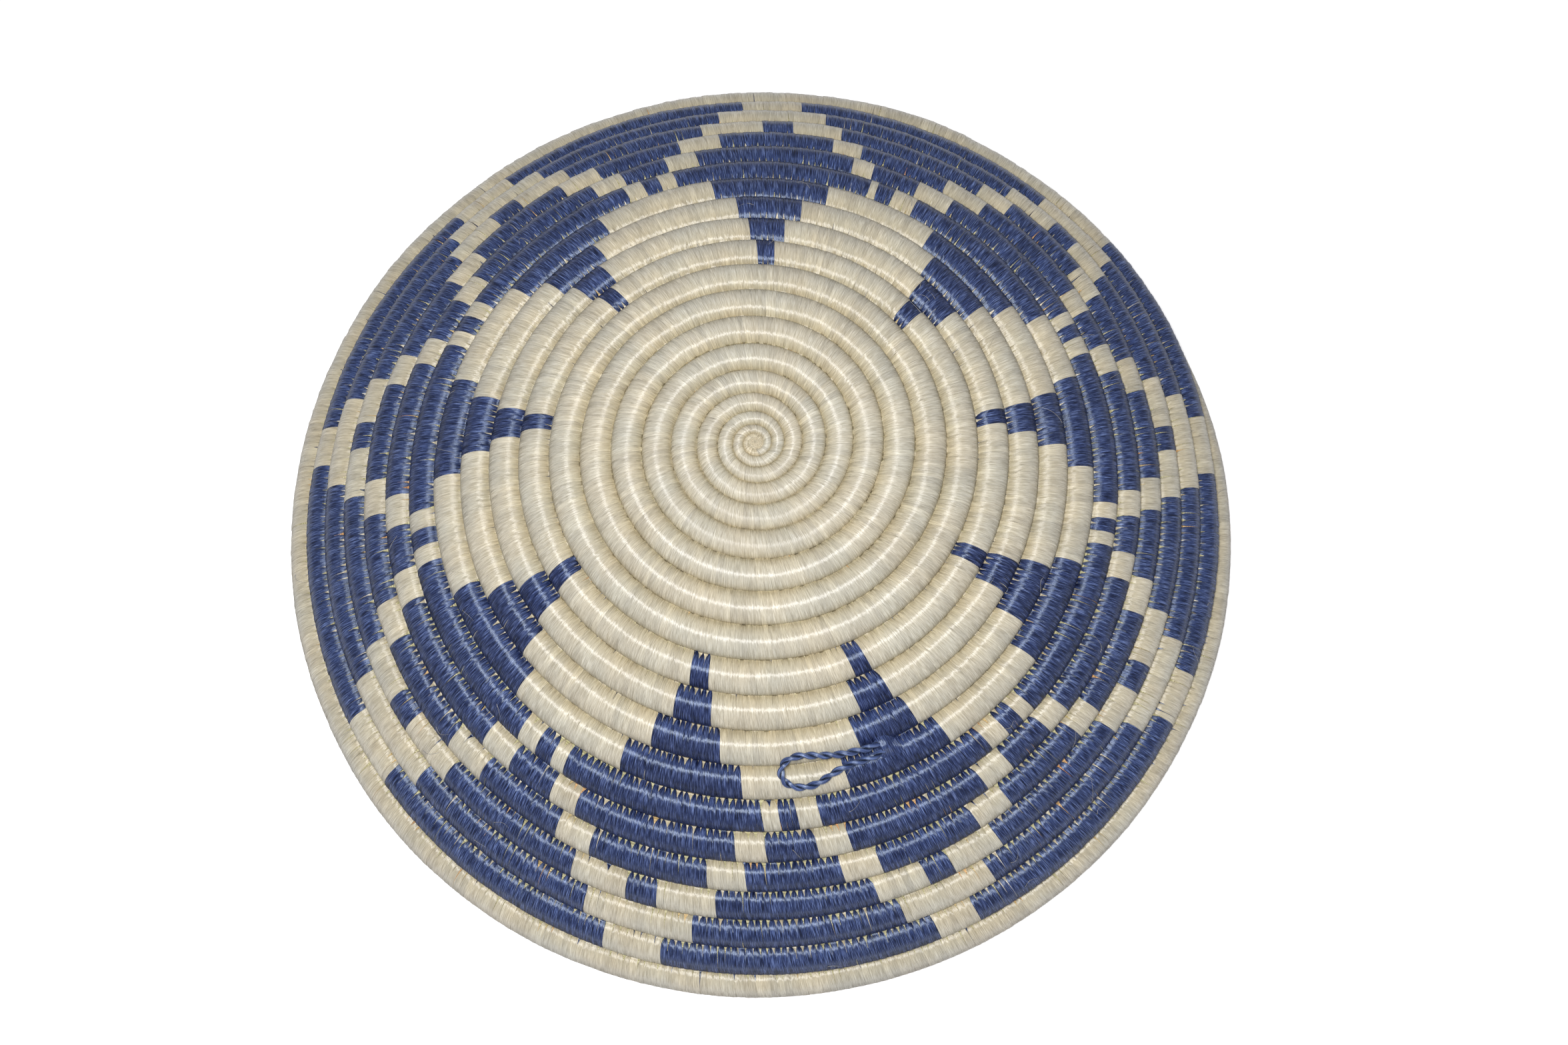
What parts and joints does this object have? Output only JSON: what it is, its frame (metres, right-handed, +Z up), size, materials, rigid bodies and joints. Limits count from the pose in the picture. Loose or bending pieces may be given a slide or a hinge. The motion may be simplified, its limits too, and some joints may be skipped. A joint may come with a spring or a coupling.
{
  "type": "coiled basket",
  "caption": "Shallow round coiled basket of grass wrapped in sisal thread, lying rim down, with a small cord loop on its outside for hanging it on a wall.",
  "frame": {"origin": "middle of the rim, on the surface that the basket lies on", "axes": "+Z up through the middle of the base, which is at the top because the basket lies rim down; the hanging loop is on the -Y side"},
  "size_m": [0.2976, 0.2979, 0.082],
  "materials": {
    "cream_sisal": "combed natural sisal thread, silky",
    "blue_sisal": "dyed dark blue sisal thread, silky; the loop is a cord of two twisted strands of it",
    "dry_grass": "dry straw-coloured grass stems"
  },
  "bodies": {
    "basket": {"grass_core": "dry_grass", "start_knot": "cream_sisal", "wrap_row_01": "cream_sisal", "wrap_row_02": "cream_sisal", "wrap_row_03": "cream_sisal", "wrap_row_04": "cream_sisal", "wrap_row_05": "cream_sisal", "wrap_row_06": "cream_sisal", "wrap_row_07": "cream_sisal", "wrap_row_08": "cream_sisal", "wrap_row_09": "cream_sisal", "wrap_row_10": "cream_sisal", "wrap_row_11": "cream_sisal", "wrap_row_12": "cream_sisal", "wrap_row_13": "blue_sisal", "wrap_row_14": "blue_sisal", "wrap_row_15": "blue_sisal", "wrap_row_16": "blue_sisal", "wrap_row_17": "blue_sisal", "wrap_row_18": "blue_sisal", "wrap_row_19": "cream_sisal", "loop_anchor": "blue_sisal"},
    "loop": {"hanging_loop": "blue_sisal"}
  },
  "joints": [
    {"name": "loop_lift", "type": "hinge", "parent": "basket", "child": "loop", "pos_m": [0.03333, -0.08682, 0.06074], "axis": [-0.2992, 0.7794, 0.5504], "range_deg": [0, 150]}
  ]
}
